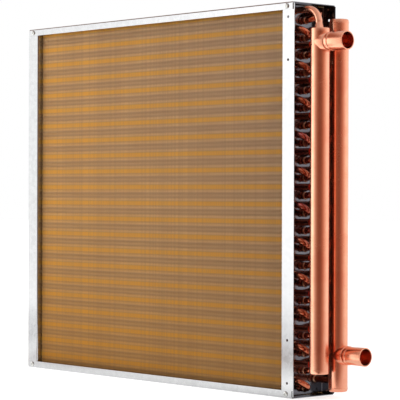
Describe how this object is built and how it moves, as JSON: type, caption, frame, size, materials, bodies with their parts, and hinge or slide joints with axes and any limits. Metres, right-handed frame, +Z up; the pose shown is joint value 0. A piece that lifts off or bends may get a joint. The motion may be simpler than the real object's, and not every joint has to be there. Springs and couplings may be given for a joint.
{
  "type": "water-to-air heat exchanger coil",
  "caption": "Finned copper-tube water coil in a folded galvanised casing, with two capped copper headers and a stub port on each, for heating or cooling duct air.",
  "frame": {"origin": "centre of the casing's flat underside", "axes": "+Z up, +X towards the header side, +Y from the front air face to the rear one"},
  "size_m": [0.718, 0.091, 0.568],
  "materials": {
    "coated_fins": "satin gold-brown coated",
    "galvanised_sheet": "bright galvanised",
    "zinc_screws": "zinc plated",
    "small_copper_tube": "drawn copper, slightly tarnished",
    "header_copper": "bright drawn copper"
  },
  "bodies": {
    "root": {"bottom_casing_plate": "galvanised_sheet", "fin_pack": "coated_fins", "front_casing_screws": "zinc_screws", "front_feeders": "small_copper_tube", "front_header": "header_copper", "front_header_caps": "header_copper", "front_return_bend_01": "small_copper_tube", "front_return_bend_02": "small_copper_tube", "front_return_bend_03": "small_copper_tube", "front_return_bend_04": "small_copper_tube", "front_return_bend_05": "small_copper_tube", "front_return_bend_06": "small_copper_tube", "front_return_bend_07": "small_copper_tube", "front_return_bend_08": "small_copper_tube", "front_return_bend_09": "small_copper_tube", "front_return_bend_10": "small_copper_tube", "front_return_bend_11": "small_copper_tube", "hairpins_01": "small_copper_tube", "hairpins_02": "small_copper_tube", "hairpins_03": "small_copper_tube", "hairpins_04": "small_copper_tube", "hairpins_05": "small_copper_tube", "hairpins_06": "small_copper_tube", "hairpins_07": "small_copper_tube", "hairpins_08": "small_copper_tube", "hairpins_09": "small_copper_tube", "hairpins_10": "small_copper_tube", "hairpins_11": "small_copper_tube", "left_tube_sheet": "galvanised_sheet", "rear_casing_screws": "zinc_screws", "rear_feeders": "small_copper_tube", "rear_header": "header_copper", "rear_header_caps": "header_copper", "rear_return_bend_01": "small_copper_tube", "rear_return_bend_02": "small_copper_tube", "rear_return_bend_03": "small_copper_tube", "rear_return_bend_04": "small_copper_tube", "rear_return_bend_05": "small_copper_tube", "rear_return_bend_06": "small_copper_tube", "rear_return_bend_07": "small_copper_tube", "rear_return_bend_08": "small_copper_tube", "rear_return_bend_09": "small_copper_tube", "rear_return_bend_10": "small_copper_tube", "rear_return_bend_11": "small_copper_tube", "right_tube_sheet": "galvanised_sheet", "top_casing_plate": "galvanised_sheet", "top_feed_elbow": "small_copper_tube", "water_ports": "header_copper"}
  },
  "joints": []
}
